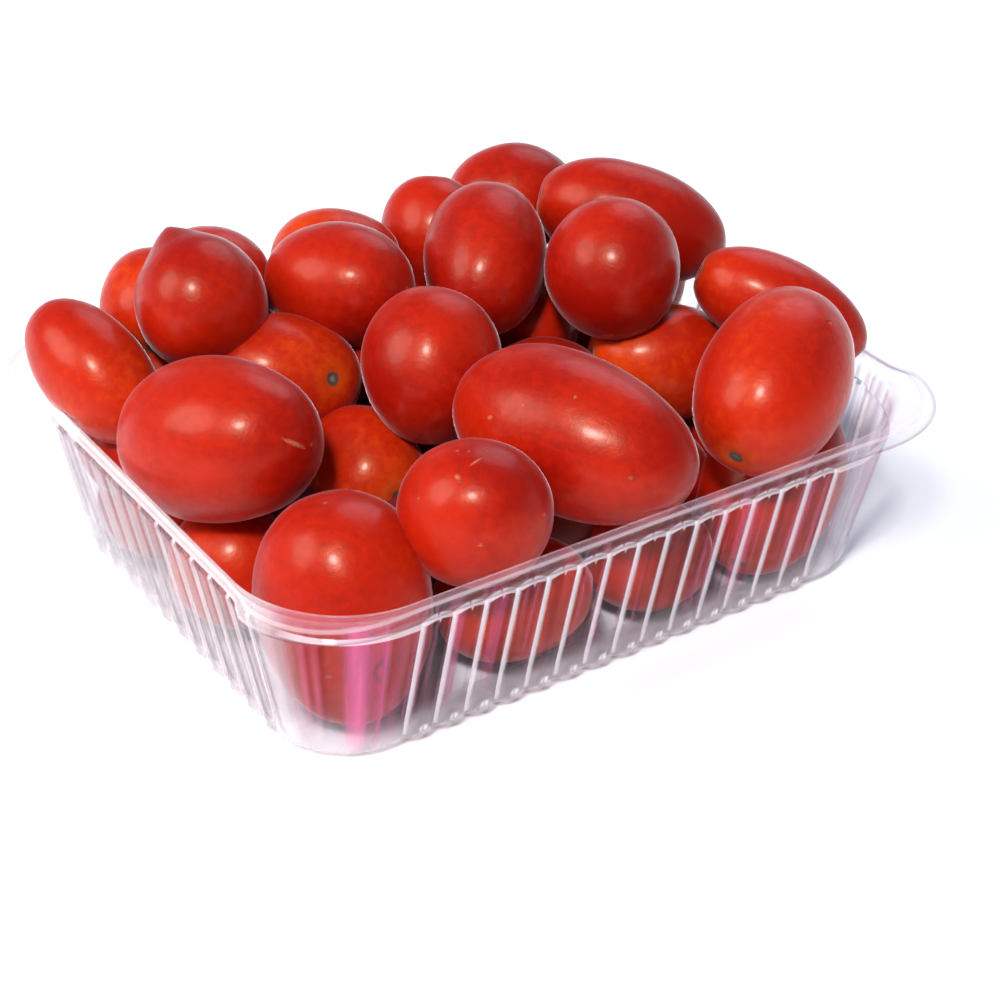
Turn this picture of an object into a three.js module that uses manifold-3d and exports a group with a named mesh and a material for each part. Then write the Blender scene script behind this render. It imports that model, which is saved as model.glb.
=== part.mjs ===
// A punnet of cherry tomatoes: a thin clear tray with fluted walls, heaped with small plum tomatoes.
// Millimetres, +Z up. The origin is the middle of the tray's underside, and the long side runs along X.

import * as THREE from "three";
import { mergeVertices } from "three/addons/utils/BufferGeometryUtils.js";
import Module from "manifold-3d";

const wasm = await Module();
wasm.setup();

// ---- Driving dimensions of the tray ----

const HEIGHT = 35; // floor to the top of the lip
const SHEET = 0.7; // thickness of the plastic
const SPINE_X = 46.3; // half sizes of the rectangle that joins the four corner centres
const SPINE_Y = 31.9;
const OPENING_REACH = 20.3; // spine to the inner edge of the lip, and the radius of the opening's corners
const LIP_REACH = 25.2; // spine to the outer edge of the lip, along the long sides
const LIP_CORNER = 2.8; // how much wider the lip is across each corner
const LIP_SWELL = 1.5; // over 1 keeps that extra width close to the corner's middle
const LIP_NARROWING = 2.5; // how much narrower the lip is along the short sides
const NARROW_TURN = [0.94, 0.99]; // cosines of the turns at which that starts and is reached
const LIP_EDGE = 1.2; // depth of the edge turned down round the lip
const DRAFT = 0.22; // how far the walls lean in for each millimetre down
const FLUTE_PITCH = 6.2;
const LONG_FLUTES = 14; // flutes on each long side
const SHORT_FLUTES = 11;
const FLUTE_DEPTH = 0.9; // how far a flute stands out from the grooves beside it
const GROOVE = 0.12; // half of a groove's width, as a share of the pitch
const FLUTE_TOP = 29.8; // above this the wall is a plain band
const ARCH = 1.2; // height over which a flute fades out at its top
const FOOT_HEIGHT = 3;
const FOOT_BULGE = 0.6; // how far a flute's rounded foot stands out below it
const BASE_EDGE = 1.6; // how far the flat base stays inside the feet
const CORNER_STEPS = 5;

// ---- Driving dimensions of the heap ----

const CLEARANCE = 0.35; // between the heap and the plastic
const HEAP_CEILING = 100; // above every tomato
const SHOWN_FACETS = { around: 10, along: 7 };
const LOWER_FACETS = { around: 7, along: 5 };
const CORE = { at: [0, 0, 17], half: [46, 32, 10], around: 12, along: 8 }; // in the middle of the heap

// The tomatoes that show, with the middle of each, the heading and rise in degrees of its tip end,
// its length and its width. A pointed one also has the length of its point.
const SHOWN = {
  leftCorner: { at: [-60, 31, 40], heading: 105, rise: 28, length: 30, width: 19 },
  pointed: { at: [-38.6, 30, 48], heading: 92, rise: 42, length: 24, width: 24, point: 2.6 },
  behindPointed: { at: [-42, 42, 43], heading: 60, rise: 20, length: 22, width: 19 },
  leftBack: { at: [-29.7, 43, 43.3], heading: -34, rise: 0, length: 23, width: 21 },
  backMiddle: { at: [-11.6, 26.4, 45.2], heading: -63, rise: 12, length: 29.3, width: 23.2 },
  behindMiddle: { at: [-4.5, 40, 41.4], heading: -34, rise: 0, length: 25, width: 21 },
  backBall: { at: [17, 39, 42], heading: -122, rise: -56, length: 23, width: 20 },
  backTop: { at: [38, 43, 42], heading: -28, rise: 10, length: 26, width: 22 },
  longBack: { at: [47, 16, 47], heading: -44, rise: -13, length: 37, width: 22 },
  upright: { at: [15, 18, 47], heading: -127, rise: -21, length: 32, width: 23 },
  topBall: { at: [31, 0, 49], heading: -125, rise: -33, length: 26, width: 25 },
  rightBack: { at: [55.6, -19.4, 42.6], heading: -49, rise: -20, length: 34, width: 18 },
  rightFront: { at: [40, -37, 41], heading: 32, rise: 21, length: 38, width: 27 },
  rightInner: { at: [39, -7, 30], heading: -22, rise: -11, length: 30, width: 22 },
  centre: { at: [-10, -2, 42], heading: -123, rise: -39, length: 28, width: 25 },
  leftInner: { at: [-28, 19.6, 34.6], heading: 159, rise: 17, length: 29, width: 22.2 },
  leftFront: { at: [-50, 3, 37], heading: -65, rise: 16, length: 39, width: 29 },
  middleInner: { at: [-23, 0, 23], heading: 81, rise: 11, length: 26, width: 22 },
  frontBall: { at: [-25, -39, 37], heading: -59, rise: 17, length: 26, width: 25 },
  longFront: { at: [0, -32, 40], heading: -66, rise: -4, length: 46, width: 28 },
  frontCorner: { at: [-46, -32, 21], heading: -92, rise: -76, length: 41, width: 30 },
  leftWall: { at: [-50, -1, 13], heading: -59, rise: -17, length: 24, width: 22 },
  frontWall: { at: [-14, -35, 13], heading: -26, rise: 14, length: 28, width: 22 },
  frontWallMiddle: { at: [15, -35, 12], heading: -34, rise: 0, length: 24, width: 21 },
  rightCorner: { at: [46, -32, 15], heading: 30, rise: 27, length: 38, width: 26 },
  underLong: { at: [18, 1, 24], heading: -34, rise: 0, length: 25, width: 24 },
};

// The tomatoes below them, which show through the plastic: the middle of each, and its width.
const LOWER = [
  [28, -17, 13, 23], [8, -16, 12, 21], [-13, -15, 12, 21], [-35, -13, 11, 19], [-34, 10, 12, 20],
  [-14, 14, 13, 24], [1, 3, 12, 21], [31, 9, 12, 20], [50, 10, 13, 24], [50, -11, 12, 20],
  [-50, 24, 13, 23], [-31, 32, 12, 22], [-8, 36, 12, 22], [10, 25, 12, 22], [28, 34, 12, 22],
  [50, 33, 13, 23], [-43, 38, 28, 22], [-15, 39, 29, 17], [7, 38, 27, 20], [29, 36, 29, 20],
  [53, 24, 30, 22], [-4, 20, 31, 20], [26, 17, 31, 18], [-5, 3, 27, 17], [16, -18, 29, 20],
  [54, -20, 27, 18], [-56.5, 27, 24, 16],
];
const LOWER_LENGTH = 1.12; // length of one of these for each millimetre of its width
const TURN_STEP = 67; // degrees between the headings of one and the next
const RISE_STEP = 29;
const MOST_RISE = 20;

const SKIN_FULLNESS = 0.9; // under 1 makes a tomato's sides fuller than an ellipse
const POINT_SHARPNESS = 18;

// ---- Solids ----

function solidOf(geometry) {
  const bare = geometry.clone();
  bare.deleteAttribute("normal");
  bare.deleteAttribute("uv");
  const merged = mergeVertices(bare, 1e-5);
  return new wasm.Manifold(
    new wasm.Mesh({
      numProp: 3,
      vertProperties: new Float32Array(merged.attributes.position.array),
      triVerts: new Uint32Array(merged.index.array),
    }),
  );
}

function geometryOf(solid) {
  const mesh = solid.getMesh();
  const geometry = new THREE.BufferGeometry();
  geometry.setAttribute("position", new THREE.BufferAttribute(mesh.vertProperties, 3));
  geometry.setIndex(new THREE.BufferAttribute(mesh.triVerts, 1));
  return geometry;
}

// Rings of equally many points, joined by walls and closed flat at both ends.
function stackedRings(rings) {
  const count = rings[0].length;
  const middle = (ring) => [0, 0, ring[0][2]];
  const points = [...rings.flat(), middle(rings[0]), middle(rings[rings.length - 1])];
  const faces = [];
  rings.slice(1).forEach((_, level) => {
    for (let i = 0; i < count; i += 1) {
      const a = level * count + i;
      const b = level * count + ((i + 1) % count);
      faces.push(a, b, b + count, a, b + count, a + count);
    }
  });
  const last = (rings.length - 1) * count;
  for (let i = 0; i < count; i += 1) {
    const next = (i + 1) % count;
    faces.push(points.length - 2, next, i);
    faces.push(points.length - 1, last + i, last + next);
  }
  const geometry = new THREE.BufferGeometry();
  geometry.setAttribute("position", new THREE.BufferAttribute(new Float32Array(points.flat()), 3));
  geometry.setIndex(faces);
  return geometry;
}

// ---- Tray ----

// The stations round the tray: where each one's spine point is, which way it faces, whether it is on a
// flute (1) or in a groove (0), and how much wider the lip is there than along the long sides.
function trayStations() {
  const sides = [0, 1, 2, 3].map((side) => {
    const long = side % 2 === 0;
    const straight = long ? SPINE_X : SPINE_Y;
    const flutes = long ? LONG_FLUTES : SHORT_FLUTES;
    const end = (flutes / 2 + GROOVE) * FLUTE_PITCH;
    return { long, straight, flutes, end, bend: Math.max(0, end - straight) / OPENING_REACH };
  });
  const stations = [];
  sides.forEach(({ long, straight, flutes, end, bend }, side) => {
    const facing = ((side - 1) * Math.PI) / 2;
    const place = (s, swing, flute) => {
      const along = Math.max(-straight, Math.min(straight, s));
      const turn = facing + swing + (s - along) / OPENING_REACH;
      const x = long ? -along * Math.sin(facing) : SPINE_X * Math.cos(facing);
      const y = long ? SPINE_Y * Math.sin(facing) : along * Math.cos(facing);
      const corner = Math.abs(Math.sin(2 * turn)) ** LIP_SWELL;
      const short = THREE.MathUtils.smoothstep(Math.abs(Math.cos(turn)), ...NARROW_TURN);
      stations.push({ x, y, turn, flute, widening: LIP_CORNER * corner - LIP_NARROWING * short });
    };
    place(-end, 0, 1);
    for (let flute = 0; flute < flutes; flute += 1) {
      const start = (flute - flutes / 2) * FLUTE_PITCH;
      place(start, 0, 0);
      place(start + GROOVE * FLUTE_PITCH, 0, 1);
      place(start + (1 - GROOVE) * FLUTE_PITCH, 0, 1);
    }
    place((flutes * FLUTE_PITCH) / 2, 0, 0);
    place(end, 0, 1);
    const nextBend = Math.PI / 2 - sides[(side + 1) % 4].bend;
    for (let step = bend > 0 ? 1 : 0; step < CORNER_STEPS; step += 1) {
      place(straight, bend + ((nextBend - bend) * step) / CORNER_STEPS, 1);
    }
    if (nextBend === Math.PI / 2) {
      place(straight, nextBend, 1);
    }
  });
  return stations;
}

const wallReach = (z) => OPENING_REACH - DRAFT * (HEIGHT - z);

// A ring at one height: flute and lip say how much of the flutes and of the lip's changes in width it has.
function trayRing(stations, { z, reach, flute = 0, lip = 0 }) {
  return stations.map((station) => {
    const out = reach + flute * station.flute + lip * station.widening;
    return [station.x + out * Math.cos(station.turn), station.y + out * Math.sin(station.turn), z];
  });
}

function tray() {
  const stations = trayStations();
  const footTop = FOOT_HEIGHT + 2 * ARCH;
  const outside = [
    { z: 0, reach: wallReach(0) + SHEET - BASE_EDGE },
    { z: FOOT_HEIGHT, reach: wallReach(FOOT_HEIGHT) + SHEET, flute: FLUTE_DEPTH + FOOT_BULGE },
    { z: footTop, reach: wallReach(footTop) + SHEET, flute: FLUTE_DEPTH },
    { z: FLUTE_TOP - ARCH, reach: wallReach(FLUTE_TOP - ARCH) + SHEET, flute: FLUTE_DEPTH },
    { z: FLUTE_TOP, reach: wallReach(FLUTE_TOP) + SHEET },
    { z: HEIGHT - SHEET, reach: wallReach(HEIGHT) + SHEET },
    { z: HEIGHT - SHEET, reach: LIP_REACH - SHEET, lip: 1 },
    { z: HEIGHT - LIP_EDGE, reach: LIP_REACH - SHEET, lip: 1 },
    { z: HEIGHT - LIP_EDGE, reach: LIP_REACH, lip: 1 },
    { z: HEIGHT, reach: LIP_REACH, lip: 1 },
  ];
  const inside = [
    { z: HEIGHT, reach: wallReach(HEIGHT) },
    { z: FLUTE_TOP, reach: wallReach(FLUTE_TOP) },
    { z: FLUTE_TOP - ARCH, reach: wallReach(FLUTE_TOP - ARCH), flute: FLUTE_DEPTH },
    { z: footTop, reach: wallReach(footTop), flute: FLUTE_DEPTH },
    { z: FOOT_HEIGHT, reach: wallReach(FOOT_HEIGHT), flute: FLUTE_DEPTH + FOOT_BULGE },
    { z: SHEET, reach: wallReach(0) - BASE_EDGE },
  ];
  return stackedRings([...outside, ...inside].map((ring) => trayRing(stations, ring)));
}

// The space that the heap may fill: the tray's inside, and above the lip no wider than the lip.
function heapSpace() {
  const stations = trayStations();
  const rings = [
    { z: SHEET + CLEARANCE, reach: wallReach(SHEET) - CLEARANCE - BASE_EDGE },
    { z: FOOT_HEIGHT, reach: wallReach(FOOT_HEIGHT) - CLEARANCE },
    { z: HEIGHT + CLEARANCE, reach: wallReach(HEIGHT) - CLEARANCE },
    { z: HEIGHT + CLEARANCE, reach: LIP_REACH - CLEARANCE },
    { z: HEAP_CEILING, reach: LIP_REACH - CLEARANCE },
  ];
  return stackedRings(rings.map((ring) => trayRing(stations, ring)));
}

// ---- Heap ----

function direction({ heading, rise }) {
  const turn = THREE.MathUtils.degToRad(heading);
  const lift = THREE.MathUtils.degToRad(rise);
  const level = Math.cos(lift);
  return new THREE.Vector3(level * Math.cos(turn), level * Math.sin(turn), Math.sin(lift));
}

// A tomato is turned about +Y, with its tip at +Y, and then laid along its own direction. Its flat facets
// lie as far inside the round form as its edges stand out of it.
function tomato({ at, heading, rise, length, width, point = 0 }, { around, along }) {
  const evening = 2 / (1 + Math.cos(Math.PI / around));
  const profile = [];
  for (let step = 0; step <= along; step += 1) {
    const angle = (step / along) * Math.PI;
    const tip = Math.max(0, -Math.cos(angle)) ** POINT_SHARPNESS;
    const radius = step % along === 0 ? 0 : (Math.sin(angle) ** SKIN_FULLNESS * width * evening) / 2;
    profile.push(new THREE.Vector2(radius, (-Math.cos(angle) * length) / 2 + tip * point));
  }
  const geometry = new THREE.LatheGeometry(profile, around);
  const up = new THREE.Vector3(0, 1, 0);
  const turn = new THREE.Quaternion().setFromUnitVectors(up, direction({ heading, rise }));
  geometry.applyQuaternion(turn);
  geometry.translate(...at);
  return solidOf(geometry);
}

// The lower tomatoes lie every way, each turned on from the one before it.
function lowerTomatoes() {
  return LOWER.map(([x, y, z, width], index) => ({
    at: [x, y, z],
    heading: (index * TURN_STEP) % 180,
    rise: ((index * RISE_STEP) % (2 * MOST_RISE)) - MOST_RISE,
    length: LOWER_LENGTH * width,
    width,
  }));
}

function heapCore() {
  const core = new THREE.SphereGeometry(1, CORE.around, CORE.along);
  core.rotateX(Math.PI / 2);
  core.scale(...CORE.half);
  core.translate(...CORE.at);
  return solidOf(core);
}

function heap() {
  const shown = Object.values(SHOWN).map((one) => tomato(one, SHOWN_FACETS));
  const lower = lowerTomatoes().map((one) => tomato(one, LOWER_FACETS));
  const joined = [...shown, ...lower].reduce((whole, one) => whole.add(one), heapCore());
  return joined.intersect(solidOf(heapSpace()));
}

// ---- The part ----

const CLEAR_PLASTIC = { color: 0xe6e0ee, roughness: 0.08, metalness: 0, transparent: true, opacity: 0.35 };
const TOMATO_SKIN = { color: 0xc41a0e, roughness: 0.22, metalness: 0 };

function piece(name, solid, finish) {
  const mesh = new THREE.Mesh(geometryOf(solid), new THREE.MeshStandardMaterial(finish));
  mesh.name = name;
  return mesh;
}

const part = new THREE.Group();
part.add(piece("punnet", solidOf(tray()), CLEAR_PLASTIC));
part.add(piece("tomatoes", heap(), TOMATO_SKIN));

export default part;
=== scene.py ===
"""A clear fluted punnet heaped with small plum tomatoes, dressed over its plain solids.

The named sizes are in millimetres, +Z up, with the tray's long side along X and its underside at 0.
"""

import math

import bpy
import numpy as np
from mathutils import Matrix, Vector, noise
from mathutils.bvhtree import BVHTree


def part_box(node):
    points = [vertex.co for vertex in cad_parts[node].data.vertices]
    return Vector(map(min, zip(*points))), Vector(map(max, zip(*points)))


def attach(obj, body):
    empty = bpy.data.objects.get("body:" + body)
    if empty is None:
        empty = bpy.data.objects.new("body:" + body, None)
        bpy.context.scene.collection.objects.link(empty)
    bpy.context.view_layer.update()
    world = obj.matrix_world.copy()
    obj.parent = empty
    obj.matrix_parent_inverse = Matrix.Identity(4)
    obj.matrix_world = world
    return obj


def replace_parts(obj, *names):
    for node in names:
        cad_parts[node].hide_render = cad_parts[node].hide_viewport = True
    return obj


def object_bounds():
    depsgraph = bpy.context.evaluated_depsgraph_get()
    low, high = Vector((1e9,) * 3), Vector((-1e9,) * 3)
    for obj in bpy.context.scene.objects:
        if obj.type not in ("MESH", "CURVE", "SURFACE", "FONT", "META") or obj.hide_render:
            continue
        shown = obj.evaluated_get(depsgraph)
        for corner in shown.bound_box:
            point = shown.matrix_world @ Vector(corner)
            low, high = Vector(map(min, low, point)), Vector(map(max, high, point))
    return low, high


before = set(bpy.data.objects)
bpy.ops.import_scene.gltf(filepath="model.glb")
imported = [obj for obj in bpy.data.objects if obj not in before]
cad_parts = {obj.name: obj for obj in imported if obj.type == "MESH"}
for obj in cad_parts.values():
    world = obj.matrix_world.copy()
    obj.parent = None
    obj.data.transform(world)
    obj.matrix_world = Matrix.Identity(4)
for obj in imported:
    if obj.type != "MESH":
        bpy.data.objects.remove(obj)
SOLID_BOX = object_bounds()

MM = 0.001

# ---- Sizes of the tray ----

SHEET = 0.5  # thickness of the plastic
SPINE_X = 46.3  # half sizes of the rectangle that joins the four corner centres
SPINE_Y = 31.9
OPENING_REACH = 20.3  # spine to the inner edge of the lip
LIP_REACH = 25.2  # spine to the outer edge of the lip, along the long sides
LIP_CORNER = 2.8  # how much wider the lip is across each corner
LIP_SWELL = 1.5  # the power that keeps that widening near the middle of the corner
LIP_NARROWING = 2.5  # how much narrower the lip is along the short sides
LIP_ROOT = 20.9  # spine to where that narrowing starts
NARROW_TURN = (0.94, 0.99)  # cosines of the turns at which that starts and is reached
LIP_STEP = 2.2  # how far inside its edge the lip steps down
LIP_STEP_DEPTH = 0.5
LIP_UNDER = 2.2  # how far under the top of the lip its root leaves the wall
LIP_EDGE = 1.2  # depth of the edge turned down round the lip
LIP_ROUND = 1.2  # radius at the mouth of the tray
DRAFT = 0.22  # how far the walls lean in for each millimetre down
FLUTE_PITCH = 6.2
LONG_FLUTES = 14
SHORT_FLUTES = 11
FLUTE_DEPTH = 0.9
GROOVE = 0.12  # half of a groove's width, as a share of the pitch
FLUTE_TOP = 30.1
ARCH_RISE = 0.95  # how much higher a flute reaches in its middle than beside the grooves
ARCH_LEDGE = 0.9  # height over which a flute runs out at its top
FOOT_HEIGHT = 3.0
FOOT_TOP = 5.8
FOOT_BULGE = 0.75
BASE_EDGE = 1.6
CORNER_COLUMNS = 26

# ---- Look of the plastic ----

RIB_WIDTH = 0.5  # half of the white line of painted reflection down each groove
RIB_END = (1.0, 2.6)  # heights over which that line fades out at its foot
STREAK_WIDTH = 1.1
STREAK_LENGTH = 40.0
FOOT_DOT = (3.5, 0.9)  # height and radius of the bright dot of painted highlight on each foot
FOOT_RING = (1.65, 0.5)  # radius and width of the dark ring of painted shade round it
FOOT_ARC = (5.6, 0.35)  # height and width of the pale arc of painted reflection over it
# The place of each pink streak of painted refraction from the start of a corner, half its width and its
# strength.
CORNER_STREAKS = ((21.0, 2.4, 2.4), (25.6, 1.2, 1.1), (29.0, 1.0, 0.6))
CORNER_REFLECTION = (5.0, 4.0, 0.3)  # the same for the pale haze of painted reflection across the start of a corner
FOOT_REFLECTION = 0.34  # how strong the pale painted reflection is at the foot of the wall
FOOT_REFLECTION_TOP = 11.0  # height at which that painted reflection ends
LEFT_FADE = (-8.0, 22.0)  # where the painted rib lines of the left wall start to fade, and over how far
SCALLOP_SHADE = (29.4, 1.1)  # height and half height of the dark spots of painted shade under the lip of the left wall

TRAY_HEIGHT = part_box("punnet")[1].z / MM
CLEARANCE = 0.35  # between a tomato and the plastic

# ---- The tomatoes ----

# Those that show: the middle of each, the heading and rise in degrees of its tip end, its length, its
# width and how ripe it is, from 0 for orange to 1 for deep red.
SHOWN = {
    "left_corner": ((-60, 31, 40), 105, 28, 30, 19, 0.5),
    "pointed": ((-38.6, 30, 48), 92, 42, 24, 24, 0.75),
    "behind_pointed": ((-42, 42, 43), 60, 20, 22, 19, 0.3),
    "left_back": ((-29.7, 43, 43.3), -34, 0, 23, 21, 0.6),
    "back_middle": ((-11.6, 26.4, 45.2), -63, 12, 29.3, 23.2, 0.65),
    "behind_middle": ((-4.5, 40, 41.4), -34, 0, 25, 21, 0.3),
    "back_ball": ((17, 39, 42), -122, -56, 23, 20, 0.65),
    "back_top": ((38, 43, 42), -28, 10, 26, 22, 0.75),
    "long_back": ((47, 16, 47), -44, -13, 37, 22, 0.85),
    "upright": ((15, 18, 47), -127, -21, 32, 23, 0.75),
    "top_ball": ((31, 0, 48.6), -125, -33, 26, 25, 0.75),
    "right_back": ((55.6, -19.4, 42.6), -49, -20, 34, 18, 0.6),
    "right_front": ((40, -37, 41), 32, 21, 38, 27, 0.5),
    "right_inner": ((39, -7, 30), -22, -11, 30, 22, 0.3),
    "centre": ((-10, -2, 42), -123, -39, 28, 25, 0.7),
    "left_inner": ((-28, 19.6, 34.6), 159, 17, 29, 22.2, 0.4),
    "left_front": ((-50, 3, 37), -65, 16, 39, 29, 0.6),
    "middle_inner": ((-23, 0, 23), 81, 11, 26, 22, 0.35),
    "front_ball": ((-25, -39, 37), -59, 17, 26, 25, 0.65),
    "long_front": ((0, -32, 40), -66, -4, 46, 28, 0.7),
    "front_corner": ((-46, -32, 21), -92, -76, 41, 30, 0.65),
    "left_wall": ((-50, -1, 13), -59, -17, 24, 22, 0.55),
    "front_wall": ((-14, -35, 13), -26, 14, 28, 22, 0.5),
    "front_wall_middle": ((15, -35, 12), -34, 0, 24, 21, 0.5),
    "right_corner": ((46, -32, 15), 30, 27, 38, 26, 0.6),
    "under_long": ((18, 1, 24), -34, 0, 25, 24, 0.6),
}
POINTS = {"pointed": 2.6}  # the length of a long point at the tip
TAPERS = {"front_corner": 0.09, "right_back": 0.08}  # how much narrower the tip end is than the stem end
USUAL_TAPER = 0.035
# The stem scars and tips that sit askew: the heading and rise of each, seen from its tomato's middle.
STEMS = {"left_inner": (-66, 15), "middle_inner": (-92, 7), "front_corner": (-60, -70)}
TIPS = {"right_front": (-30, 54), "front_corner": (60, 70)}

# The marks on their skins: the tomato, the heading and rise of each end of the mark, half its width, how
# pale it is from 0 to 1, and whether it is a ring.
SKIN_MARKS = (
    ("left_front", (-80, 26), (-68, 16), 0.55, 1, False),
    ("front_ball", (-153, 59), (-149, 58), 0.55, 0.9, False),
    ("front_ball", (-147, 56), (-143, 55), 0.35, 0.2, False),
    ("front_ball", (-138, 70), (-103, 78), 0.3, 1, False),
    ("front_ball", (147, 75), (150, 76), 0.3, 0.7, False),
    ("front_ball", (176, 83), (178, 84), 0.25, 0.7, False),
    ("front_ball", (-55, 81), (-57, 82), 0.25, 0.6, False),
    ("front_ball", (-120, 8), (-119, 9), 0.4, 0.8, False),
    ("front_ball", (179, 30), (178, 31), 0.3, 0.6, False),
    ("long_front", (164, 22), (165, 23), 0.5, 0.9, False),
    ("long_front", (-179, 41), (-179, 42), 0.4, 0.7, False),
    ("long_front", (-128, 59), (-127, 60), 0.35, 0.7, False),
    ("long_front", (-96, 7), (-95, 7), 0.4, 0.6, False),
    ("front_corner", (120, 79), (118, 80), 0.4, 0.8, False),
    ("front_corner", (-134, -11), (-131, -11), 0.5, 0.8, False),
    ("front_corner", (-99, -6), (-99, -14), 1.9, 0, True),
    ("front_corner", (-117, -4), (-117, -10), 1.9, 0.45, True),
    ("right_front", (-34, 57), (-26, 51), 0.4, 0.1, False),
)
MARK_HEIGHT = 0.12
MARK_SINK = 0.02  # how far the rim of a mark lies in the skin
MARK_ROWS = 7
MARK_COLUMNS = 18

# Those below them: the middle of each, and its width.
LOWER = [
    (28, -17, 13, 23), (8, -16, 12, 21), (-13, -15, 12, 21), (-35, -13, 11, 19), (-34, 10, 12, 20),
    (-14, 14, 13, 24), (1, 3, 12, 21), (31, 9, 12, 20), (50, 10, 13, 24), (50, -11, 12, 20),
    (-50, 24, 13, 23), (-31, 32, 12, 22), (-8, 36, 12, 22), (10, 25, 12, 22), (28, 34, 12, 22),
    (50, 33, 13, 23), (-43, 38, 28, 22), (-15, 39, 29, 17), (7, 38, 27, 20), (29, 36, 29, 20),
    (53, 24, 30, 22), (-4, 20, 31, 20), (26, 17, 31, 18), (-5, 3, 27, 17), (16, -18, 29, 20),
    (54, -20, 27, 18), (-56.5, 27, 24, 16),
]
LOWER_LENGTH = 1.12  # their length, as a share of the width
TURN_STEP = 67  # degrees by which each heads past the one before
RISE_STEP = 29
MOST_RISE = 20

# The core under the tomatoes: its middle and its half sizes.
CORE_AT = (0, 0, 17)
CORE_HALF = (46, 32, 10)

SKIN_FULLNESS = 0.9  # below 1 for blunter ends than an ellipsoid's
POINT_SHARPNESS = 18
DIMPLE = (0.7, 2.0)  # depth and radius of the hollow round the stem scar
NUB = (0.35, 1.1)  # height and radius of the bump at the tip
LUMPS = ((0.35, 14.0), (0.12, 6.0))  # height and size of the unevenness of the skin
LOBES = 0.12  # height of the three faint lobes round each
SHOWN_STEPS = (64, 46)  # steps round a tomato and along it
LOWER_STEPS = (36, 26)
CORE_STEPS = (48, 24)
RIPER_TIP = 0.25  # how much riper the tip end is than the stem end
BLUSH = 0.3  # how unevenly a skin ripens, and the size of its patches
BLUSH_SIZE = 13.0


# ---- Meshes ----


def smooth(share):
    """From 0 to 1 with level ends."""
    share = np.clip(share, 0, 1)
    return share * share * (3 - 2 * share)


def mesh_piece(name, points, faces, finish, slot, **marks):
    """A shown piece from points in millimetres, with a number or a vector at each point for every mark.

    Points past the box of the solids are moved back onto it. This cuts the lip's fine corners, which bulge
    a little more than the few steps of the solids' corners.
    """
    mesh = bpy.data.meshes.new(name)
    places = np.clip(np.asarray(points) * MM, *SOLID_BOX)
    mesh.from_pydata(places.tolist(), [], faces)
    for mark, values in marks.items():
        values = np.asarray(values, np.float32)
        kind, field = ("FLOAT_VECTOR", "vector") if values.ndim == 2 else ("FLOAT", "value")
        mesh.attributes.new(mark, kind, "POINT").data.foreach_set(field, values.ravel())
    mesh.materials.append(finish)
    mesh.shade_smooth()
    piece = bpy.data.objects.new(name, mesh)
    bpy.context.scene.collection.objects.link(piece)
    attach(piece, "root")
    return piece


def grid_faces(rows, columns, first=0):
    """The faces between rows of points that each go once round."""
    faces = []
    for row in range(rows - 1):
        for column in range(columns):
            a = first + row * columns + column
            b = first + row * columns + (column + 1) % columns
            faces.append((a, b, b + columns, a + columns))
    return faces


# ---- Shape of the tray ----


def wall_reach(z):
    return OPENING_REACH - DRAFT * (TRAY_HEIGHT - z)


def flute_columns():
    """Places across one flute, as shares of the pitch, closer together beside the grooves."""
    half = np.array([0, 0.03, 0.06, 0.09, 0.12, 0.19, 0.27, 0.35, 0.41, 0.46])
    return np.concatenate([half, [0.5], 1 - half[:0:-1]])


def tray_columns():
    """Every column round the tray: its spine point, the way it faces, how far it is from the nearest
    groove, its place across its flute from -1 to 1, its distance round the tray, and its distance into
    a corner or 0."""
    columns = []
    sides = []
    for side in range(4):
        long_side = side % 2 == 0
        straight = SPINE_X if long_side else SPINE_Y
        flutes = LONG_FLUTES if long_side else SHORT_FLUTES
        sides.append((long_side, straight, flutes, flutes / 2 * FLUTE_PITCH))

    def bend(side):
        return max(0.0, sides[side][3] - sides[side][1]) / OPENING_REACH

    around = 0.0
    for side, (long_side, straight, flutes, end) in enumerate(sides):
        facing = (side - 1) * math.pi / 2

        def add(s, swing, groove, across, distance, into=0):
            along = max(-straight, min(straight, s))
            turn = facing + swing + (s - along) / OPENING_REACH
            x = -along * math.sin(facing) if long_side else SPINE_X * math.cos(facing)
            y = SPINE_Y * math.sin(facing) if long_side else along * math.cos(facing)
            columns.append((x, y, turn, groove, across, distance, into))

        for flute in range(flutes):
            for q in flute_columns():
                s = (flute - flutes / 2 + q) * FLUTE_PITCH
                groove = min(q, 1 - q) * FLUTE_PITCH
                add(s, 0, groove, 2 * q - 1, around + s + end)
        add(end, 0, 0, 1, around + 2 * end)
        around += 2 * end
        low, high = bend(side), math.pi / 2 - bend((side + 1) % 4)
        level = max(0.0, straight - end)
        next_level = max(0.0, sides[(side + 1) % 4][1] - sides[(side + 1) % 4][3])
        length = level + (high - low) * OPENING_REACH + next_level
        beside = flute_columns()[1:6] * FLUTE_PITCH
        steps = np.concatenate([beside, np.linspace(2, length - 2, CORNER_COLUMNS)])
        steps = np.unique(np.concatenate([steps, length - beside]))
        for step in steps:
            groove = min(step, length - step)
            if step < level:
                add(end + step, 0, groove, 0, around + step, step)
            elif step > length - next_level:
                rest = length - step
                turn = facing + math.pi / 2
                if long_side:
                    x, y = SPINE_X * math.cos(turn), (-sides[(side + 1) % 4][3] - rest) * math.cos(turn)
                else:
                    x = (sides[(side + 1) % 4][3] + rest) * math.sin(turn)
                    y = SPINE_Y * math.sin(turn)
                columns.append((x, y, turn, groove, 0, around + step, step))
            else:
                add(straight, low + (step - level) / OPENING_REACH, groove, 0, around + step, step)
        around += length
    return np.array(columns).T


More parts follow.
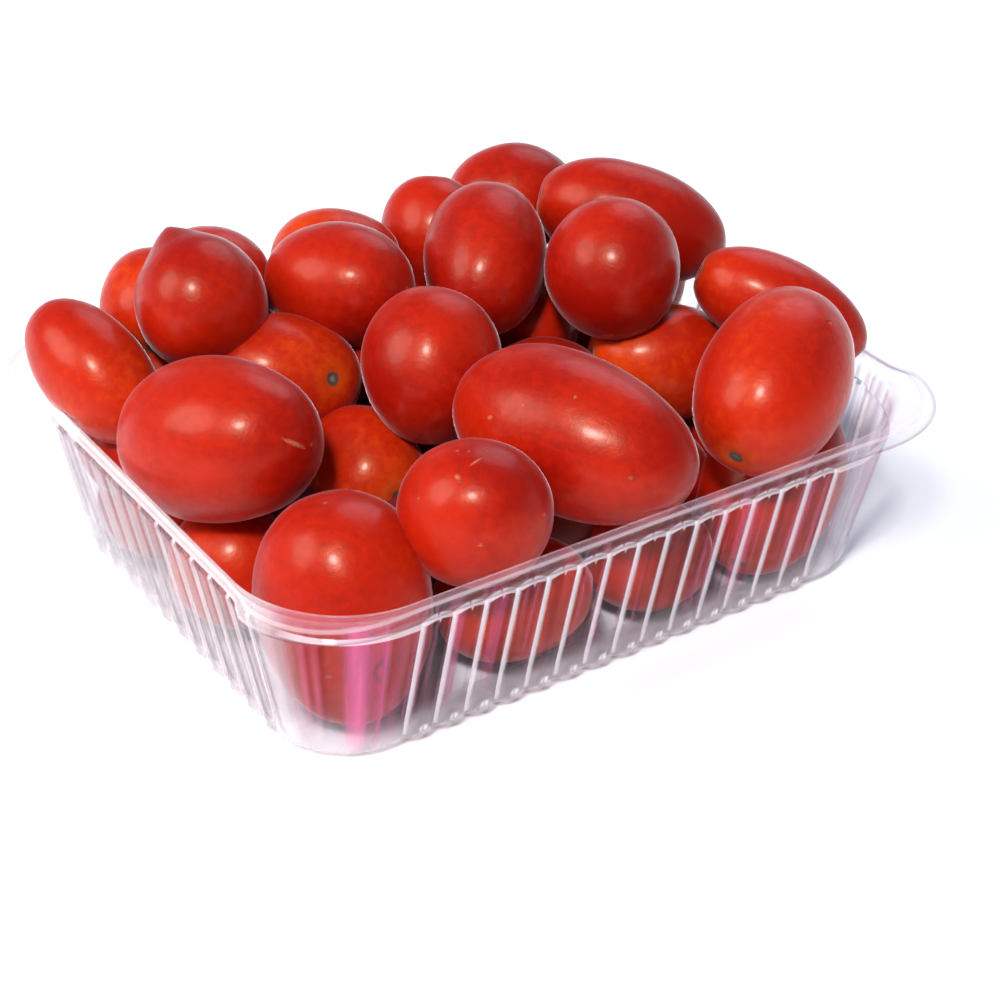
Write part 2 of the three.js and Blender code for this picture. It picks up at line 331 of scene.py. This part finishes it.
def tray_rows(foot_angles, foot_steps):
    """The rows of the sheet, from the base up to under the lip: height, reach beyond the leaning wall,
    share of the flutes, share of the feet and share of the flutes' arched tops."""
    rows = [(0, -BASE_EDGE - 5, 0, 0, 0), (0, -BASE_EDGE, 0, 0, 0)]
    for angle in np.radians(foot_angles):
        share = math.sin(angle)
        rows.append((FOOT_HEIGHT * (1 - math.cos(angle)), BASE_EDGE * (share - 1), share, share, 0))
    for z in np.linspace(FOOT_HEIGHT, FOOT_TOP, foot_steps)[1:]:
        share = (z - FOOT_HEIGHT) / (FOOT_TOP - FOOT_HEIGHT)
        rows.append((z, 0, 1, math.sqrt(max(0, 1 - share**2)), 0))
    ledge = FLUTE_TOP - ARCH_LEDGE
    rows += [(z, 0, 1, 0, 0) for z in np.linspace(FOOT_TOP, ledge - 3, 6)[1:]]
    rows += [(z, 0, 1, 0, 1) for z in (ledge - 1.2, ledge - 0.3)]
    for share in np.linspace(0, 1, 7):
        rows.append((ledge + share * ARCH_LEDGE, 0, float(1 - smooth(share)), 0, 1))
    rows += [(FLUTE_TOP + 0.6, 0, 0, 0, 0.6), (TRAY_HEIGHT - 3.2, 0, 0, 0, 0)]
    return rows


def lip_rows():
    """The rows of the lip, from under its root out to its edge and back over its top: height, reach from
    the spine, share of the wide corners, and how much painted reflection and painted shade lie there."""
    top, mouth = TRAY_HEIGHT, OPENING_REACH
    rows = []
    for angle in np.radians([0, 30, 60, 90]):
        rise, away = LIP_ROUND * math.sin(angle), LIP_ROUND * (1 - math.cos(angle))
        rows.append((top - LIP_UNDER + rise, mouth + SHEET + away, 0, 0.05, 0))
    step = LIP_REACH - LIP_STEP
    outer = top - LIP_STEP_DEPTH
    # Painted shade darkens the edge turned down round the lip, and painted reflection brightens its step.
    rows += [
        (top - SHEET, step - 0.6, 0.9, 0.0, 0.1),
        (outer - 0.4, step, 0.95, 0.0, 0.1),
        (outer - 0.4, LIP_REACH - 0.7, 1, 0.0, 0.1),
        (top - LIP_EDGE, LIP_REACH - 0.45, 1, 0.0, 0.5),
        (top - LIP_EDGE, LIP_REACH - 0.1, 1, 0.0, 0.6),
        (top - LIP_EDGE + 0.15, LIP_REACH, 1, 0.0, 0.5),
        (outer - 0.25, LIP_REACH, 1, 0.1, 0.4),
        (outer - 0.06, LIP_REACH - 0.1, 1, 0.15, 0.2),
        (outer, LIP_REACH - 0.35, 1, 0.1, 0.1),
        (outer, LIP_REACH - 0.8, 1, 0.02, 0.05),
        (outer, step + 0.3, 0.98, 0.02, 0.05),
        (outer + 0.1, step, 0.95, 0.3, 0),
        (top - 0.08, step - 0.3, 0.92, 0.3, 0),
        (top, step - 0.6, 0.9, 0.05, 0),
        (top, mouth + LIP_ROUND + 0.4, 0.1, 0.05, 0),
    ]
    for angle in np.radians([0, 30, 60, 90]):
        drop = LIP_ROUND * (1 - math.cos(angle))
        # A painted highlight along the rounded mouth.
        white = 0.05 + 0.25 * math.sin(2 * angle)
        rows.append((top - drop, mouth + LIP_ROUND * (1 - math.sin(angle)), 0, white, 0))
    return rows


def streak_noise(around, z, seed):
    """Streaks that run down the wall, from -1 to 1."""
    spots = zip(around / STREAK_WIDTH, z / STREAK_LENGTH)
    return np.array([noise.noise(Vector((across, down, seed))) for across, down in spots])


def tray(finish):
    """The whole tray: up the outer face, over the lip, down the inner face and across the floor. It
    carries at each point how much painted reflection, pink painted refraction and painted shade lies on the
    plastic."""
    x, y, turn, groove, across, around, into = tray_columns()
    corner = np.abs(np.sin(2 * turn)) ** LIP_SWELL
    short = smooth((np.abs(np.cos(turn)) - NARROW_TURN[0]) / (NARROW_TURN[1] - NARROW_TURN[0]))
    panel = smooth(groove / (GROOVE * FLUTE_PITCH)) * (0.88 + 0.12 * (1 - across**2))
    in_flute = across != 0
    off_middle = np.where(in_flute, across * FLUTE_PITCH / 2, 9)
    dome = np.where(in_flute, np.sqrt(np.maximum(0, 1 - (across / 0.8) ** 2)), 0.3)
    arch = np.where(in_flute, across**2, 1)
    # Painted reflection: a white line down each groove.
    rib_glint_mask = np.exp(-((groove / RIB_WIDTH) ** 4))
    # Pink painted refraction in streaks round each corner, and pale painted reflection across its start.
    corner_pink = sum(power * np.exp(-(((into - at) / half) ** 4)) for at, half, power in CORNER_STREAKS)
    start, half, power = CORNER_REFLECTION
    corner_reflection = power * np.exp(-(((into - start) / half) ** 2)) * (into > 0)
    # The left wall gets more pale painted reflection, fainter rib lines and a little painted shade.
    left = smooth((-np.cos(turn) - 0.8) / 0.2)
    left_fade = left * smooth((y - LEFT_FADE[0]) / LEFT_FADE[1])
    left_reflection = 0.1 * left + 0.12 * left_fade
    points, white, pink, dark = [], [], [], []

    def ring(z, reach, whiteness, pinkness, darkness):
        points.append(np.stack([x + reach * np.cos(turn), y + reach * np.sin(turn), z + 0 * x], 1))
        white.append(whiteness + 0 * x)
        pink.append(pinkness + 0 * x)
        dark.append(darkness + 0 * x)

    def wall_ring(row, inside):
        z, out, flute, foot, arched = row
        z = z - arched * ARCH_RISE * arch
        reach = wall_reach(z) + out + flute * FLUTE_DEPTH * panel + foot * FOOT_BULGE * dome * panel
        if inside:
            ring(z + (SHEET if z.max() < 0.01 else 0), reach, 0, 0, 0)
            return
        # Each foot's painted highlight: a bright dot, with a dark ring of painted shade round it and a pale
        # arc over it.
        from_dot = np.hypot(off_middle, z - FOOT_DOT[0])
        glint_dot = np.exp(-((from_dot / FOOT_DOT[1]) ** 4))
        shade_ring = np.exp(-(((from_dot - FOOT_RING[0]) / FOOT_RING[1]) ** 2))
        glint_arc = np.exp(-(((z - FOOT_ARC[0] + 0.3 * off_middle**2) / FOOT_ARC[1]) ** 2))
        glint_arc = glint_arc * (np.abs(off_middle) < 1.6)
        # A painted highlight along the ledge at the flutes' tops, left off the left wall.
        ledge = (0.7 if arched and 0.02 < flute < 0.98 else 0) * (1 - left)
        rib_glint = rib_glint_mask * smooth((z - RIB_END[0]) / (RIB_END[1] - RIB_END[0])) * (flute > 0)
        rib_glint = rib_glint * (1 - 0.8 * left_fade)
        high = smooth((z - 3) / 9)
        # Pink painted refraction and dark painted shade in streaks down the wall.
        light = streak_noise(around, z, 0)
        shadow = streak_noise(around + 50, z, 3)
        dark_streaks = 0.6 * smooth((shadow - 0.02) / 0.35) * high
        # Pale painted reflection at the foot, across the start of each corner and on the left wall.
        pale_reflection = FOOT_REFLECTION * (1 - smooth(z / FOOT_REFLECTION_TOP)) + corner_reflection + left_reflection * (flute > 0)
        # Painted shade in spots under the lip of the left wall.
        scallop_shade = np.exp(-(((z - SCALLOP_SHADE[0]) / SCALLOP_SHADE[1]) ** 2)) * (1 - across**2) * in_flute
        ring(
            z,
            reach + SHEET,
            np.maximum.reduce([rib_glint, ledge, glint_dot, 0.3 * glint_arc, pale_reflection]),
            smooth((light - 0.02) / 0.35) * high * (1 - left) + corner_pink * smooth((z - 1) / 4),
            np.maximum.reduce([dark_streaks, 0.35 * shade_ring, left * (0.08 + scallop_shade)]),
        )

    outside = tray_rows((18, 36, 54, 66, 76, 83, 90), 9)
    inside = tray_rows((18, 36, 54, 72, 90), 4)
    for row in outside:
        wall_ring(row, False)
    for z, reach, wide, whiteness, darkness in lip_rows():
        outward = np.clip((reach - LIP_ROOT) / (LIP_REACH - LIP_ROOT), 0, 1)
        out = reach + wide * LIP_CORNER * corner - outward * LIP_NARROWING * short
        # The top of the lip gets pink painted refraction; over the left wall, more painted reflection and
        # no painted shade.
        pinkness = 0.4 * (z > TRAY_HEIGHT - LIP_STEP_DEPTH) * (1 - left)
        ring(z, out, whiteness + 0.35 * left, pinkness, darkness * (1 - left))
    for row in reversed(inside):
        wall_ring(row, True)
    count, levels = len(x), len(points)
    points = np.concatenate(points + [[[0, 0, 0], [0, 0, SHEET]]])
    faces = grid_faces(levels, count)
    under, floor, last = levels * count, levels * count + 1, (levels - 1) * count
    for column in range(count):
        following = (column + 1) % count
        faces.append((under, following, column))
        faces.append((floor, last + column, last + following))
    return mesh_piece(
        "fluted_tray", points, faces, finish, "clear_plastic",
        white=np.concatenate(white + [[0, 0]]),
        pink=np.concatenate(pink + [[0, 0]]),
        dark=np.concatenate(dark + [[0, 0]]),
    )


# ---- Shape of the heap ----


def direction(heading, rise):
    heading, rise = math.radians(heading), math.radians(rise)
    return Vector((math.cos(rise) * math.cos(heading), math.cos(rise) * math.sin(heading), math.sin(rise)))


def kept_clear(points):
    """Moves points in from the plastic: inside the wall below the lip, and inside its edge above it."""
    spine = np.clip(points[:, :2], (-SPINE_X, -SPINE_Y), (SPINE_X, SPINE_Y))
    away = points[:, :2] - spine
    distance = np.maximum(np.linalg.norm(away, axis=1), 1e-9)
    z = points[:, 2]
    limit = np.where(z < TRAY_HEIGHT + CLEARANCE, wall_reach(z), LIP_REACH) - CLEARANCE
    limit = limit - BASE_EDGE * np.clip(1 - z / FOOT_HEIGHT, 0, 1)
    share = np.minimum(1, limit / distance)
    kept = points.copy()
    kept[:, :2] = spine + away * share[:, None]
    kept[:, 2] = np.maximum(z, SHEET + CLEARANCE)
    return kept


def tomato(number, one, around, along):
    """Points of a tomato, the place of each on its own tomato, and the places of its stem scar and tip."""
    angles = np.linspace(0, math.pi, along + 1)
    angles[0], angles[-1] = 0.03, math.pi - 0.03
    turns = np.arange(around) * math.tau / around
    a, t = np.meshgrid(angles, turns, indexing="ij")
    toward_tip = -np.cos(a)
    radius = np.sin(a) ** SKIN_FULLNESS * one["width"] / 2 * (1 - one["taper"] * toward_tip)
    radius = radius + LOBES * np.sin(a) ** 2 * np.cos(3 * t + number)
    y = toward_tip * one["length"] / 2 + np.maximum(0, toward_tip) ** POINT_SHARPNESS * one["point"]
    own = np.stack([radius * np.cos(t), y, -radius * np.sin(t)], -1).reshape(-1, 3)
    offset = Vector((number * 37.0, number * 11.0, 0))
    for height, size in LUMPS:
        lump = np.array([noise.noise(Vector(p) / size + offset) for p in own])
        own = own * (1 + height * lump / (one["width"] / 2))[:, None]
    tip_way = direction(one["heading"], one["rise"])
    turn = np.array(Vector((0, 1, 0)).rotation_difference(tip_way).to_matrix())
    unit = own / np.linalg.norm(own, axis=1)[:, None]
    stem_way = direction(*one["stem"]) if one["stem"] else -tip_way
    tip_way = direction(*one["tip"]) if one["tip"] else tip_way
    stem = own[np.argmax(unit @ (turn.T @ np.array(stem_way)))].copy()
    tip = own[np.argmax(unit @ (turn.T @ np.array(tip_way)))].copy()
    from_stem = np.linalg.norm(own - stem, axis=1)[:, None]
    from_tip = np.linalg.norm(own - tip, axis=1)[:, None]
    own = own - unit * DIMPLE[0] * np.exp(-((from_stem / DIMPLE[1]) ** 2))
    own = own + unit * NUB[0] * np.exp(-((from_tip / NUB[1]) ** 2))
    points = own @ turn.T + np.array(one["at"], float)
    return kept_clear(points), own, stem, tip


def tomatoes(name, several, around, along, finish):
    """One piece with each tomato of the list."""
    points, faces, place, stems, tips, ripe = [], [], [], [], [], []
    for number, one in enumerate(several):
        first = sum(map(len, points))
        p, own, stem, tip = tomato(number, one, around, along)
        faces += grid_faces(along + 1, around, first)
        last = first + along * around
        faces.append(tuple(first + i for i in reversed(range(around))))
        faces.append(tuple(last + i for i in range(around)))
        apart = np.array([number * 53.0, number * 17.0, 0])
        points.append(p)
        place.append(own + apart)
        stems.append(np.tile(stem + apart, (len(p), 1)))
        tips.append(np.tile(tip + apart, (len(p), 1)))
        blush = np.array([noise.noise(Vector(spot) / BLUSH_SIZE) for spot in own + apart])
        ripe.append(one["ripe"] + RIPER_TIP * own[:, 1] / one["length"] + BLUSH * blush)
    return mesh_piece(
        name, np.concatenate(points), faces, finish, "tomato_skin",
        skin_place=np.concatenate(place), stem_place=np.concatenate(stems),
        tip_place=np.concatenate(tips), ripeness=np.concatenate(ripe),
    )


def shown_tomatoes():
    several = []
    for name, (at, heading, rise, length, width, ripe) in SHOWN.items():
        several.append(dict(
            at=at, heading=heading, rise=rise, length=length, width=width, ripe=ripe,
            taper=TAPERS.get(name, USUAL_TAPER), point=POINTS.get(name, 0),
            stem=STEMS.get(name), tip=TIPS.get(name),
        ))
    return several


def lower_tomatoes():
    several = []
    for index, (x, y, z, width) in enumerate(LOWER):
        several.append(dict(
            at=(x, y, z), heading=index * TURN_STEP % 180,
            rise=index * RISE_STEP % (2 * MOST_RISE) - MOST_RISE,
            length=LOWER_LENGTH * width, width=width, ripe=0.6 + 0.04 * (index * 7 % 11),
            taper=USUAL_TAPER, point=0, stem=None, tip=None,
        ))
    return several


def skin_marks(finish):
    """One low dome for each mark, laid on the skin of its tomato."""
    points, faces, pale, cover = [], [], [], []
    shown = dict(zip(SHOWN, shown_tomatoes()))
    for name, start, end, half, paleness, ring in SKIN_MARKS:
        one = shown[name]
        middle = Vector(one["at"])
        skin = tomato(list(SHOWN).index(name), one, *SHOWN_STEPS)[0]
        tree = BVHTree.FromPolygons(skin.tolist(), grid_faces(SHOWN_STEPS[1] + 1, SHOWN_STEPS[0]))

        def on_skin(way):
            spot, normal, _, _ = tree.ray_cast(middle + way * 60, -way)
            return spot, normal

        ends = [on_skin(direction(*way))[0] for way in (start, end)]
        centre, outward = on_skin((sum(ends, Vector()) / 2 - middle).normalized())
        along = ends[1] - ends[0]
        half_length = along.length / 2 + half
        along.normalize()
        first = len(points)
        for share in np.linspace(1, 0.02, MARK_ROWS):
            for turn in np.arange(MARK_COLUMNS) * math.tau / MARK_COLUMNS:
                aside = along * (half_length * share * math.cos(turn))
                aside += outward.cross(along) * (half * share * math.sin(turn))
                spot, normal = on_skin((centre + aside - middle).normalized())
                body = math.exp(-(((share - 0.6) / 0.22) ** 2)) if ring else 1 - share**2
                points.append(spot + normal * (MARK_HEIGHT * body - MARK_SINK * (share == 1)))
                pale.append(paleness)
                cover.append(body)
        faces += grid_faces(MARK_ROWS, MARK_COLUMNS, first)
        faces.append(tuple(range(len(points) - MARK_COLUMNS, len(points))))
    return mesh_piece("skin_marks", points, faces, finish, "tomato_skin", pale=pale, cover=cover)


def heap(finish, core_finish, mark_finish):
    """The tomatoes that show, those below them, the core and the marks on the skins."""
    shown = tomatoes("shown_tomatoes", shown_tomatoes(), *SHOWN_STEPS, finish)
    tomatoes("lower_tomatoes", lower_tomatoes(), *LOWER_STEPS, finish)
    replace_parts(shown, "tomatoes")
    around, levels = CORE_STEPS
    angles, turns = np.linspace(0.05, math.pi - 0.05, levels), np.arange(around) * math.tau / around
    angles, turns = np.meshgrid(angles, turns, indexing="ij")
    unit = np.stack([np.sin(angles) * np.cos(turns), np.sin(angles) * np.sin(turns), -np.cos(angles)], -1)
    points = unit.reshape(-1, 3) * CORE_HALF + CORE_AT
    last = (levels - 1) * around
    faces = grid_faces(levels, around)
    faces += [tuple(reversed(range(around))), tuple(range(last, last + around))]
    mesh_piece("heap_core", points, faces, core_finish, "tomato_skin")
    skin_marks(mark_finish)


# ---- Finishes ----


class Value:
    """What a socket gives, so that sums on it read as arithmetic."""

    def __init__(self, finish, socket):
        self.finish = finish
        self.socket = socket

    def sum(self, operation, first, second=0.0):
        return self.finish.node("ShaderNodeMath", {"operation": operation}, {0: first, 1: second})

    def __add__(self, other):
        return self.sum("ADD", self, other)

    def __sub__(self, other):
        return self.sum("SUBTRACT", self, other)

    def __rsub__(self, other):
        return self.sum("SUBTRACT", other, self)

    def __mul__(self, other):
        return self.sum("MULTIPLY", self, other)

    def __pow__(self, other):
        return self.sum("POWER", self, other)

    __radd__ = __add__
    __rmul__ = __mul__


class Finish:
    """A material, or the world, while its nodes are laid out."""

    def __init__(self, owner):
        self.owner = owner
        owner.use_nodes = True
        self.tree = owner.node_tree
        self.tree.nodes.clear()

    def node(self, kind, settings, sockets, output=0):
        """Adds a node, makes its settings, then fills its sockets with values or links."""
        node = self.tree.nodes.new(kind)
        for name, value in settings.items():
            setattr(node, name, value)
        for name, value in sockets.items():
            if isinstance(value, Value):
                self.tree.links.new(value.socket, node.inputs[name])
            else:
                node.inputs[name].default_value = value
        return None if output is None else Value(self, node.outputs[output])

    def mark(self, name, output="Fac"):
        """A number or vector that the mesh carries."""
        return self.node("ShaderNodeAttribute", {"attribute_name": name}, {}, output)

    def noise(self, place, scale, detail=3.0, roughness=0.5):
        return self.node(
            "ShaderNodeTexNoise", {},
            {"Vector": place, "Scale": scale, "Detail": detail, "Roughness": roughness},
        )

    def apart(self, first, second):
        """How far apart two places are."""
        return self.node("ShaderNodeVectorMath", {"operation": "DISTANCE"}, {0: first, 1: second}, "Value")

    def between(self, value, low, high):
        """From 0 where the value is low to 1 where it is high, with level ends."""
        return self.node(
            "ShaderNodeMapRange", {"interpolation_type": "SMOOTHSTEP"},
            {"Value": value, "From Min": low, "From Max": high},
        )

    def blend(self, share, first, second):
        """A colour between two."""
        return self.node("ShaderNodeMix", {"data_type": "RGBA"}, {0: share, 6: first, 7: second}, 2)

    def over(self, share, below, above):
        """A share of one surface laid over another."""
        return self.node("ShaderNodeMixShader", {}, {0: share, 1: below, 2: above})

    def done(self, surface, output="ShaderNodeOutputMaterial"):
        self.node(output, {}, {"Surface": surface}, None)
        return self.owner


def tomato_skin():
    finish = Finish(bpy.data.materials.new("tomato_skin"))
    place = finish.mark("skin_place", "Vector")
    mottle = finish.noise(place, 0.55, 3, 0.6) - 0.5
    ripe = finish.mark("ripeness") + mottle * 0.7
    colour = finish.blend(finish.between(ripe, 0.0, 0.5), (0.56, 0.042, 0.003, 1), (0.42, 0.011, 0.0018, 1))
    colour = finish.blend(finish.between(ripe, 0.45, 1.0), colour, (0.28, 0.004, 0.0012, 1))
    from_stem = finish.apart(place, finish.mark("stem_place", "Vector"))
    ragged = from_stem + mottle * 0.9
    scar = 1 - finish.between(ragged, 1.25, 1.6)
    heart = 1 - finish.between(ragged, 0.4, 0.9)
    collar = 1 - finish.between(ragged, 1.6, 5.5)
    colour = finish.blend(collar * 0.5, colour, (0.56, 0.075, 0.006, 1))
    colour = finish.blend(scar, colour, (0.075, 0.055, 0.045, 1))
    colour = finish.blend(heart * 0.8, colour, (0.24, 0.21, 0.19, 1))
    from_tip = finish.apart(place, finish.mark("tip_place", "Vector"))
    nub = 1 - finish.between(from_tip, 0.25, 0.6)
    colour = finish.blend(nub * 0.6, colour, (0.6, 0.16, 0.08, 1))
    bump = finish.node("ShaderNodeBump", {}, {"Strength": 0.45, "Distance": 0.0002, "Height": mottle})
    skin = finish.node(
        "ShaderNodeBsdfPrincipled", {},
        {
            "Base Color": colour, "Roughness": 0.35 + mottle * 0.15 + scar * 0.4,
            "Normal": bump, "IOR": 1.45,
            "Specular IOR Level": 0.22, "Specular Tint": (1.0, 0.93, 0.62, 1),
            "Coat Weight": 0.1, "Coat Roughness": 0.16, "Coat Tint": (1.0, 0.97, 0.8, 1),
            "Sheen Weight": 0.5, "Sheen Roughness": 0.22, "Sheen Tint": (0.95, 0.9, 1.0, 1),
        },
    )
    return finish.done(skin)


def mark_finish():
    finish = Finish(bpy.data.materials.new("mark_finish"))
    colour = finish.blend(finish.mark("pale"), (0.20, 0.010, 0.008, 1), (0.66, 0.18, 0.10, 1))
    mark = finish.node(
        "ShaderNodeBsdfPrincipled", {},
        {
            "Base Color": colour, "Roughness": 0.4,
            "Specular IOR Level": 0.3, "Alpha": finish.mark("cover") * 0.6,
        },
    )
    return finish.done(mark)


def dark_flesh():
    """The heap's core, a darker red than any tomato: painted shade in the dark between the tomatoes."""
    finish = Finish(bpy.data.materials.new("dark_flesh"))
    shade = finish.noise(finish.node("ShaderNodeNewGeometry", {}, {}, "Position"), 90, 3)
    colour = finish.blend(shade, (0.10, 0.004, 0.003, 1), (0.20, 0.010, 0.005, 1))
    flesh = finish.node("ShaderNodeBsdfPrincipled", {}, {"Base Color": colour, "Roughness": 0.5})
    return finish.done(flesh)


def clear_plastic():
    finish = Finish(bpy.data.materials.new("clear_plastic"))
    clear = finish.node("ShaderNodeBsdfTransparent", {}, {"Color": (0.985, 0.98, 0.99, 1)})
    # Each mark lays a layer over the clear sheet: painted shade as a dimmer mauve see-through layer, pink
    # painted refraction as a pink matte layer, and painted reflection as a white matte layer.
    shade_layer = finish.node("ShaderNodeBsdfTransparent", {}, {"Color": (0.60, 0.44, 0.50, 1)})
    pink_haze = finish.node("ShaderNodeBsdfDiffuse", {}, {"Color": (0.80, 0.17, 0.36, 1)})
    white_haze = finish.node("ShaderNodeBsdfDiffuse", {}, {"Color": (0.97, 0.93, 0.96, 1)})
    gloss = finish.node("ShaderNodeBsdfAnisotropic", {}, {"Color": (1, 1, 1, 1), "Roughness": 0.1})
    facing = finish.node("ShaderNodeLayerWeight", {}, {"Blend": 0.5}, "Facing")
    sheet = finish.over(finish.mark("dark"), clear, shade_layer)
    sheet = finish.over(finish.mark("pink") * 0.24, sheet, pink_haze)
    sheet = finish.over(finish.mark("white") * 0.78, sheet, white_haze)
    return finish.done(finish.over(0.012 + 0.85 * facing**7, sheet, gloss))


def floor_finish():
    finish = Finish(bpy.data.materials.new("pale_floor"))
    return finish.done(finish.node("ShaderNodeBsdfDiffuse", {}, {"Color": (0.93, 0.945, 0.98, 1)}))


# ---- Floor, light and camera ----


FLOOR_HALF = 3.0  # metres, as is the gap under the tray
FLOOR_GAP = 0.0002


def pale_floor():
    half, low = FLOOR_HALF, -FLOOR_GAP
    mesh = bpy.data.meshes.new("floor")
    corners = [(-half, -half, low), (half, -half, low), (half, half, low), (-half, half, low)]
    mesh.from_pydata(corners, [], [(0, 1, 2, 3)])
    mesh.materials.append(floor_finish())
    floor = bpy.data.objects.new("floor", mesh)
    bpy.context.scene.collection.objects.link(floor)


def soft_light(name, azimuth, elevation, distance, size, power, colour):
    """A round light that faces the tray. Azimuth 0 is in front, and 90 to the right."""
    lamp = bpy.data.lights.new(name, "AREA")
    lamp.shape = "DISK"
    lamp.size = size
    lamp.energy = power
    lamp.color = colour
    a, e = math.radians(azimuth), math.radians(elevation)
    back = Vector((math.sin(a) * math.cos(e), -math.cos(a) * math.cos(e), math.sin(e)))
    light = bpy.data.objects.new(name, lamp)
    light.location = Vector((0, 0, 0.03)) + back * distance
    light.rotation_mode = "QUATERNION"
    light.rotation_quaternion = (-back).to_track_quat("-Z", "Y")
    bpy.context.scene.collection.objects.link(light)


def pale_room():
    """Soft light from all round, brightest near the floor."""
    room = Finish(bpy.data.worlds.new("studio"))
    way = room.node("ShaderNodeTexCoord", {}, {}, "Generated")
    height = room.node("ShaderNodeSeparateXYZ", {}, {0: way}, 2)
    strength = 0.85 - 0.63 * room.between(height, 0.0, 0.42)
    light = room.node("ShaderNodeBackground", {}, {"Color": (0.80, 0.89, 1.0, 1), "Strength": strength})
    return room.done(light, "ShaderNodeOutputWorld")


def studio():
    bpy.context.scene.world = pale_room()
    bpy.context.scene.view_settings.view_transform = "Standard"
    soft_light("window", -109, 39, 2.4, 1.55, 42, (1.0, 0.98, 0.96))
    soft_light("front_lamp", -49, 54, 2.2, 0.36, 46, (1.0, 0.99, 0.97))
    soft_light("sky", 125, 38, 2.4, 1.6, 16, (0.60, 0.78, 1.0))


IMAGE_SIZE = 1000  # pixels along each side
FOCAL_PIXELS = 2720.7
CAMERA_AZIMUTH = -34.906
CAMERA_ELEVATION = 33.58
CAMERA_ROLL = 1.589
CAMERA_DISTANCE = 522.9
CAMERA_TARGET = (12.49, 7.61, 0)
SENSOR = 36.0


def photo_camera():
    a, e, roll = map(math.radians, (CAMERA_AZIMUTH, CAMERA_ELEVATION, CAMERA_ROLL))
    back = Vector((math.sin(a) * math.cos(e), -math.cos(a) * math.cos(e), math.sin(e)))
    level = Vector((math.cos(a), math.sin(a), 0))
    upright = back.cross(level)
    right = math.cos(roll) * level + math.sin(roll) * upright
    up = math.cos(roll) * upright - math.sin(roll) * level
    lens = bpy.data.cameras.new("camera")
    lens.sensor_width = SENSOR
    lens.lens = FOCAL_PIXELS / IMAGE_SIZE * SENSOR
    lens.clip_start = 0.01
    camera = bpy.data.objects.new("camera", lens)
    place = (Vector(CAMERA_TARGET) + back * CAMERA_DISTANCE) * MM
    camera.matrix_world = Matrix.Translation(place) @ Matrix((right, up, back)).transposed().to_4x4()
    bpy.context.scene.collection.objects.link(camera)
    bpy.context.scene.camera = camera


# ---- The scene ----

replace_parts(tray(clear_plastic()), "punnet")
heap(tomato_skin(), dark_flesh(), mark_finish())
pale_floor()
studio()
photo_camera()
